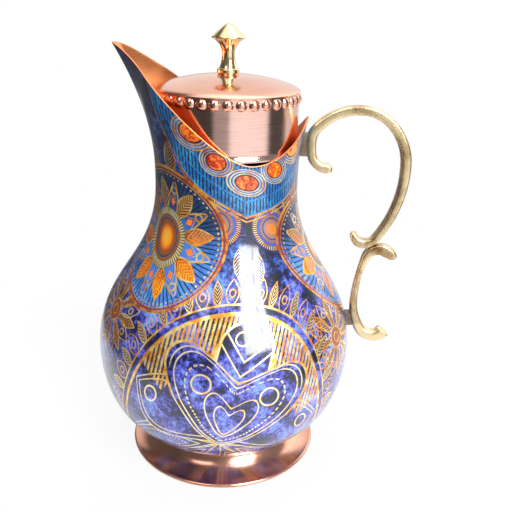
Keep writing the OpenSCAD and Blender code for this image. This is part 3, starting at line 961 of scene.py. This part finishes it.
def collar_band(ink):
    """The blue band along the rim with its pointed lower edge and a row of medallions."""
    edge = ink.askew - BAND_H - ink.apart * 0.3 - (ink.apart * (1 / 66)) ** 5 * 25
    band = fill(0 - edge)
    teal = ink.net.ramp(ink.mottle, TEAL)
    ink.cover(band, teal)
    tick = (ink.apart * (1 / 2.7)).wrap(-0.5, 0.5) * 2.7 * ink.per_deg
    rows = (edge - 1.5).wrap(0, 8.5).lt(7.2)
    ink.flat(line(tick + (ink.fine - 0.5) * 1.8, 0.85) * rows * band, NAVY)
    disc = None
    for at, height, w, h in MEDALLIONS:
        d = length((ink.apart - at) * ink.per_deg * (1 / w), (ink.askew - height) * (1 / h))
        disc = d if disc is None else disc.mn(d)
    disc = (disc - 1) * 5
    ink.cover(fill(disc - 4.4), teal)
    ink.flat(fill(disc - 0.7), NAVY)
    for out, wide in ((1.2, 0.5), (2.7, 0.55), (4.2, 0.6)):
        ink.leaf(line(disc - out, wide, 0.3), ink.gold)
    ink.cover(fill(disc), ink.net.ramp(ink.cloud * 0.4 + ink.fine * 0.6, EMBER))
    ink.leaf(line(edge, 0.95).mx(line(edge + 2.4, 0.8)), ink.bronze)


# ---------- materials ----------


def principled(name, **values):
    mat = bpy.data.materials.new(name)
    mat.use_nodes = True
    tree = mat.node_tree
    shader = tree.nodes["Principled BSDF"]
    for key, value in values.items():
        shader.inputs[key.replace("_", " ")].default_value = value
    return mat, tree, shader


def bump(net, socket, height, strength, distance):
    node = net.node("ShaderNodeBump")
    node.inputs["Strength"].default_value = strength
    node.inputs["Distance"].default_value = distance
    net.plug(node.inputs["Height"], height)
    net.plug(socket, node.outputs[0])


def enamel():
    """Blue and violet clouds and gold mandalas, mirrored in the plane of the handle, under lacquer."""
    mat, tree, shader = principled(
        "printed_enamel", Coat_Weight=1.0, Coat_Roughness=0.035, Coat_IOR=1.55, Roughness=0.4
    )
    net = Net(tree)
    ink = Print(net)
    for motif in (flowers, heart_mandala, front_line, sunflowers, spout_plume, collar_band):
        motif(ink)
    net.plug(shader.inputs["Base Color"], ink.colour)
    net.plug(shader.inputs["Metallic"], ink.leafed * 0.55 + 0.12)
    net.plug(shader.inputs["Roughness"], ink.fine * 0.25 + 0.24)
    bump(net, shader.inputs["Coat Normal"], net.noise(ink.pos, 120, 2), 0.05, 0.0004)
    return mat


def metal(name, colour, dark, rough, lines=None, spots=0.35, hammer=0.0, relief=0.06, streak=0.25):
    """Worked metal.

    lines is "z" for turning marks round a wall and "r" for marks round a face; streak is how much they show.
    spots is how much the tone wanders, hammer how uneven the face is and relief how deep all marks are.
    """
    mat, tree, shader = principled(name, Metallic=1.0)
    net = Net(tree)
    pos, (x, y, z) = net.place()
    cloud = net.noise(pos, 45, 5, 0.6)
    grain = net.noise(pos, 900, 3, 0.6)
    height = cloud * hammer + grain * 0.12
    if lines:
        turn = net.math("ARCTAN2", y, x)
        along = z if lines == "z" else length(x, y)
        groove = net.noise(net.vector(along * 2600, turn * 1.6, 0.0), 1.0, 3, 0.75)
        height = height + groove * 0.5
        tone = cloud * spots + groove * streak + (0.5 - spots / 2 - streak / 2)
        rough_val = groove * 0.16 + cloud * 0.12 + (rough - 0.14)
    else:
        tone = cloud * spots + grain * 0.2 + (0.4 - spots / 2)
        rough_val = cloud * 0.22 + grain * 0.1 + (rough - 0.16)
    net.plug(shader.inputs["Base Color"], net.ramp(tone, [(0.3, dark), (0.55, colour)]))
    net.plug(shader.inputs["Roughness"], rough_val)
    bump(net, shader.inputs["Normal"], height, relief, 0.001)
    return mat


COPPER = (0.90, 0.50, 0.37)
COPPER_DARK = (0.74, 0.34, 0.22)
enamel_mat = enamel()
copper_wall = metal("copper_inside", (0.97, 0.37, 0.14), (0.92, 0.24, 0.06), 0.30, "z", 0.3, relief=0.03)
copper_drum = metal(
    "copper_turned", (0.93, 0.64, 0.56), (0.76, 0.42, 0.33), 0.15, "z", 0.2, relief=0.035, streak=0.8
)
copper_dome = metal("copper_polished", COPPER, COPPER_DARK, 0.17, "r", 0.3, hammer=0.7, relief=0.03)
copper_foot = metal(
    "copper_foot", (0.82, 0.43, 0.31), (0.62, 0.26, 0.16), 0.20, "r", 0.4, hammer=0.4, relief=0.05
)
copper_bead = metal("copper_bead", COPPER, COPPER_DARK, 0.18, spots=0.3)
brass_cast = metal(
    "brass_cast", (0.86, 0.69, 0.41), (0.32, 0.19, 0.08), 0.30, spots=1.1, hammer=1.6, relief=0.22
)
# rougher brass for the saddles; its darkened colour is painted shade where they sit between the handle and
# the neck
brass_dull_shaded = metal(
    "brass_dull_shaded", (0.42, 0.33, 0.22), (0.10, 0.07, 0.05), 0.42, spots=0.9, hammer=1.2, relief=0.2
)
brass_turned = metal("brass_turned", (0.90, 0.72, 0.42), (0.70, 0.48, 0.22), 0.16, "z", 0.3, relief=0.03)


def dress(obj, *mats):
    """Gives an object its materials; with more than one, its faces keep their choice between them."""
    if len(mats) == 1:
        obj.data.materials.clear()
    for m in mats:
        obj.data.materials.append(m)


def piece(obj, body, slot, mats, *nodes):
    dress(obj, *mats)
    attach(obj, body)
    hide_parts(*nodes)


belly, neck = vessel()
piece(belly, "pot", "printed_enamel", (enamel_mat, copper_wall), "belly_bowl")
piece(neck, "pot", "printed_enamel", (enamel_mat, copper_wall), "neck_and_spout")
piece(foot(), "pot", "copper", (copper_foot,), "foot_ring")
upper = scroll("upper_scroll_skin", UPPER_ROUTE, HANDLE_T, HANDLE_W)
lower = scroll("lower_scroll_skin", LOWER_ROUTE, LOWER_T, HANDLE_W - 0.6)
piece(upper, "pot", "cast_brass", (brass_cast,), "handle_upper_scroll")
piece(lower, "pot", "cast_brass", (brass_cast,), "handle_lower_scroll")
piece(drum(), "lid", "copper", (copper_drum,), "lid_drum")
piece(dome(), "lid", "copper", (copper_dome,), "lid_dome")
piece(beads(), "lid", "copper", (copper_bead,), "lid_beads")
piece(collar(), "lid", "polished_brass", (brass_turned,), "finial_collar")
piece(knob(), "lid", "polished_brass", (brass_turned,), "finial_knob")
for node_name, mat in (
    # the saddles take the darkened brass: painted shade of the joint between handle and neck
    ("upper_saddle", brass_dull_shaded),
    ("lower_saddle", brass_dull_shaded),
    ("upper_rivet", copper_bead),
    ("lower_rivet", copper_bead),
    ("lower_rivet_washer", copper_bead),
    ("finial_stud", brass_turned),
    ("finial_washer", brass_turned),
    ("finial_nut", brass_turned),
):
    dress(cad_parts[node_name], mat)


# ---------- studio ----------


# Brightness of the surroundings by azimuth in degrees, at table height and higher up.
LEVEL_TONES = [
    (-180, 0.12), (-156, 0.12), (-150, 0.06), (-110, 0.06), (-105, 0.42), (-84, 0.42), (-80, 1.1),
    (-22, 1.1), (-14, 0.08), (14, 0.08), (22, 0.75), (90, 0.8), (120, 0.12), (180, 0.12),
]  # fmt: skip
RAISED_TONES = [
    (-180, 0.1), (-158, 0.1), (-145, 0.16), (20, 0.25), (30, 1.9), (55, 1.6), (80, 1.0), (118, 1.0),
    (134, 0.15), (180, 0.12),
]  # fmt: skip
SOFT_BOX, SOFT_BOX_HALF, SOFT_BOX_LIGHT = -52, 14, 15  # azimuth and half its width in degrees, brightness
WHITE = 1.02  # the background that the camera sees
TABLE_R = 3000


def studio_world():
    """A soft box and dark flags as a painted sky; the camera itself sees plain white."""
    world = bpy.data.worlds.new("studio")
    bpy.context.scene.world = world
    world.use_nodes = True
    net = Net(world.node_tree)
    back = world.node_tree.nodes["Background"]
    dx, dy, dz = net.parts(net.node("ShaderNodeTexCoord").outputs["Generated"])
    around = net.math("ARCTAN2", dy, dx) * (1 / TAU) + 0.5
    azimuth = around * 360 - 180

    def ring(tones):
        stops = [((a + 180) / 360, (v / 2, v / 2, v / 2)) for a, v in tones]
        return Val(net, net.ramp(around, stops)) * 2

    def above(sine, soft):
        return net.math("MULTIPLY_ADD", dz, 1 / soft, -sine / soft, clamp=True)

    level = ring(LEVEL_TONES)
    light = level + (ring(RAISED_TONES) - level) * above(0.04, 0.08)
    box = fill(abs(azimuth - SOFT_BOX) - SOFT_BOX_HALF, 2.0) * above(0.22, 0.05) * (1 - above(0.84, 0.05))
    bar = fill(abs(azimuth + 47) - 0.8, 0.6)  # a darker upright in the box
    light = light + box * (1 - 0.6 * bar) * SOFT_BOX_LIGHT + above(0.80, 0.1) * 1.3
    seen = net.is_camera_ray()
    net.plug(back.inputs["Strength"], light * (1 - seen) + seen * WHITE)
    back.inputs["Color"].default_value = (1, 1, 1, 1)


def shader_mix(net, share, first, second):
    node = net.node("ShaderNodeMixShader")
    for socket, value in zip(node.inputs, (share, first, second)):
        net.plug(socket, value)
    return node.outputs[0]


def table_top():
    """White and over-exposed, with only a trace of shadow; further out it is clear to reflections."""
    mat, tree, shader = principled("table", Base_Color=(0.68, 0.68, 0.68, 1), Roughness=0.6)
    net = Net(tree)
    _, (x, y, _) = net.place()
    seen = net.is_camera_ray()
    fade = 0.10
    far = net.math("MULTIPLY_ADD", length(x, y), 1 / fade, -0.24 / fade, clamp=True)
    clear = net.node("ShaderNodeBsdfTransparent").outputs[0]
    white = net.node("ShaderNodeEmission")
    white.inputs["Strength"].default_value = 1.0
    near_top = shader_mix(net, seen * 0.9, shader.outputs[0], white.outputs[0])
    far_top = shader_mix(net, seen, clear, white.outputs[0])
    surface = shader_mix(net, far, near_top, far_top)
    net.plug(tree.nodes["Material Output"].inputs["Surface"], surface)
    return mat


def floor():
    obj = revolve("floor", [(0, -0.05), (TABLE_R, -0.05), (TABLE_R, -0.06), (0, -0.06)], 64)
    dress(obj, table_top())


def area_light(name, location, target, size, power):
    data = bpy.data.lights.new(name, "AREA")
    data.shape = "RECTANGLE"
    data.size, data.size_y = size
    data.energy = power
    obj = bpy.data.objects.new(name, data)
    obj.location = location
    obj.rotation_euler = (Vector(target) - Vector(location)).to_track_quat("-Z", "Y").to_euler()
    bpy.context.scene.collection.objects.link(obj)


CAMERA_AT, FOCAL = (0.0362, -0.4142, 0.2977), 47.86
HEADING, DOWN, TILT = -2.27, 21.3, 1.75  # degrees


def camera():
    """A slightly tilted view from the front, looking down on the lid."""
    heading, down, tilt = math.radians(HEADING), math.radians(DOWN), math.radians(TILT)
    level = Vector((math.cos(heading), -math.sin(heading), 0))
    onward = Vector((math.sin(heading), math.cos(heading), 0))
    ahead = onward * math.cos(down) - Vector((0, 0, math.sin(down)))
    upright = level.cross(ahead)
    right = level * math.cos(tilt) + upright * math.sin(tilt)
    up = upright * math.cos(tilt) - level * math.sin(tilt)
    data = bpy.data.cameras.new("camera")
    data.sensor_width = 36
    data.lens = FOCAL
    data.clip_start = 0.01
    obj = bpy.data.objects.new("camera", data)
    placed = Matrix((right, up, -ahead)).transposed().to_4x4()
    placed.translation = Vector(CAMERA_AT)
    obj.matrix_world = placed
    bpy.context.scene.collection.objects.link(obj)
    bpy.context.scene.camera = obj


studio_world()
floor()
area_light("key", (-0.5, -0.9, 1.3), (0, 0, 0.1), (0.7, 0.7), 4)
camera()
bpy.context.scene.view_settings.view_transform = "Standard"

bpy.context.view_layer.update()
